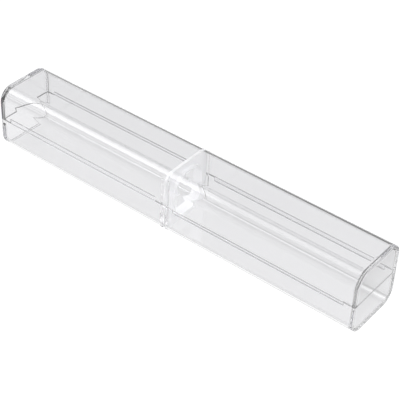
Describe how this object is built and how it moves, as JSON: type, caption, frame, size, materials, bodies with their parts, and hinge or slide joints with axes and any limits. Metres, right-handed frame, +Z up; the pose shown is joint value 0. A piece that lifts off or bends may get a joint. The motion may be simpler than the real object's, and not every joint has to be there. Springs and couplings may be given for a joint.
{
  "type": "pen box",
  "caption": "Clear moulded box for a single pen: rounded-square base and lid that part at mid-height on tongues, with a plate across the middle of each that seats the barrel.",
  "frame": {"origin": "middle of the flat face that the closed box rests on", "axes": "+X along the box, +Y across it towards the back wall, +Z up, the way the lid lifts off"},
  "size_m": [0.165, 0.026, 0.0268],
  "materials": {
    "clear_shell": "water-clear moulded polystyrene, polished",
    "pen_rest": "slightly milky clear moulded plastic"
  },
  "bodies": {
    "base": {"base_shell": "clear_shell", "base_pen_rest": "pen_rest"},
    "lid": {"lid_shell": "clear_shell", "lid_pen_rest": "pen_rest"}
  },
  "joints": [
    {"name": "lid_lift", "type": "slide", "parent": "base", "child": "lid", "axis": [0, 0, 1], "range_m": [0, 0.04]}
  ]
}
